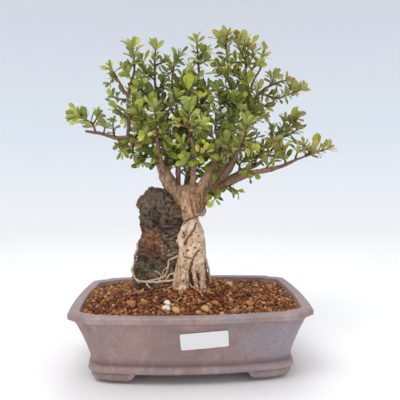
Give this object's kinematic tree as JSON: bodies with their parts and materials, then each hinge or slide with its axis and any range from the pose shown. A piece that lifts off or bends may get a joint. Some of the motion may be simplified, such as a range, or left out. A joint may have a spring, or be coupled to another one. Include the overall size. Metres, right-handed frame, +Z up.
{
  "type": "bonsai tree",
  "caption": "Small-leaved barberry bonsai grown over an upright lava rock, in a rectangular unglazed stoneware pot with cloud feet.",
  "frame": {"origin": "centre of the whole part's bounding box, at the bottom of the pot's feet", "axes": "+Z up, +X to the right of the pot's long front as the picture shows it, +Y from the front to the back"},
  "size_m": [0.2258, 0.15, 0.2808],
  "materials": {
    "stoneware": "unglazed purple-brown stoneware with bluish and reddish fire marks",
    "mesh_plastic": "black plastic drain mesh",
    "paper": "blank white paper label with rounded corners",
    "akadama_soil": "loose baked-clay grains, orange-brown with pale and dark ones",
    "lava_rock": "pitted dark grey-brown lava with rust and moss patches",
    "barberry_wood": "gnarled pale bark, pitted and grooved, browner on the branches",
    "barberry_leaf": "small matt green leaves on thin twigs, with straight thorns",
    "barberry_flower": "yellow buds and small cupped flowers"
  },
  "bodies": {
    "root": {"pot": "stoneware", "drain_mesh_left": "mesh_plastic", "drain_mesh_right": "mesh_plastic", "label": "paper", "soil": "akadama_soil", "rock": "lava_rock", "trunk": "barberry_wood", "back_left_spray": "barberry_leaf", "back_low_spray": "barberry_leaf", "back_right_low_spray": "barberry_leaf", "back_right_spray": "barberry_leaf", "back_spray": "barberry_leaf", "crown_right_spray": "barberry_leaf", "crown_spray": "barberry_leaf", "far_left_spray": "barberry_leaf", "fork_left_spray": "barberry_leaf", "fork_left_tip_spray": "barberry_leaf", "fork_low_spray": "barberry_leaf", "fork_right_tip_spray": "barberry_leaf", "fork_tip_spray": "barberry_leaf", "front_left_spray": "barberry_leaf", "front_right_spray": "barberry_leaf", "front_spray": "barberry_leaf", "front_twig_side_spray": "barberry_leaf", "front_twig_tip_spray": "barberry_leaf", "high_right_spray": "barberry_leaf", "left_flowers": "barberry_flower", "left_inner_spray": "barberry_leaf", "left_limb_spray": "barberry_leaf", "left_low_spray": "barberry_leaf", "left_under_spray": "barberry_leaf", "limb_under_spray": "barberry_leaf", "low_leaf_spray": "barberry_leaf", "low_right_inner_spray": "barberry_leaf", "low_right_spray": "barberry_leaf", "low_right_tip_spray": "barberry_leaf", "low_right_under_spray": "barberry_leaf", "middle_base_spray": "barberry_leaf", "middle_flowers": "barberry_flower", "middle_left_high_spray": "barberry_leaf", "middle_left_low_spray": "barberry_leaf", "middle_left_mid_spray": "barberry_leaf", "middle_left_tip_spray": "barberry_leaf", "middle_low_spray": "barberry_leaf", "middle_mid_spray": "barberry_leaf", "middle_tip_spray": "barberry_leaf", "right_back_spray": "barberry_leaf", "right_inner_spray": "barberry_leaf", "right_limb_low_spray": "barberry_leaf", "right_limb_spray": "barberry_leaf", "stem_front_spray": "barberry_leaf", "top_spray": "barberry_leaf", "twig_tip_spray": "barberry_leaf", "upper_flowers": "barberry_flower", "upright_back_spray": "barberry_leaf", "upright_left_tip_spray": "barberry_leaf", "upright_low_spray": "barberry_leaf", "upright_side_spray": "barberry_leaf", "upright_tip_spray": "barberry_leaf"}
  },
  "joints": []
}
